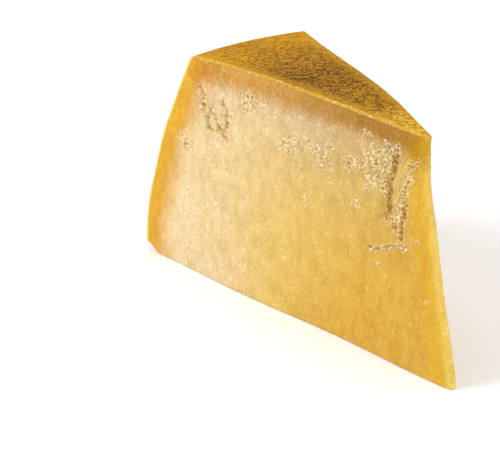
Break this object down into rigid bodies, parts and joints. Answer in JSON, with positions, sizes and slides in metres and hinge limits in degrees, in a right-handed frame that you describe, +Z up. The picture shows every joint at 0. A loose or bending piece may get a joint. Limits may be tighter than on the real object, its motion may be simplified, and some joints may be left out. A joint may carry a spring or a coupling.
{
  "type": "parmesan chunk",
  "caption": "Narrow wedge of hard aged cheese, rind on its top and outer side, split faces meeting in a thin edge, standing on a flat cut.",
  "frame": {"origin": "middle of the footprint box, on the surface the chunk stands on", "axes": "+X towards the thin edge at the wheel's axis, -X towards the barrel side, -Y towards the front split face, +Z up to the rind of the wheel's flat face"},
  "size_m": [0.2268, 0.0888, 0.1295],
  "materials": {
    "paste": "waxy",
    "rind": "satin"
  },
  "bodies": {
    "root": {"parmesan_chunk": "paste"}
  },
  "joints": []
}
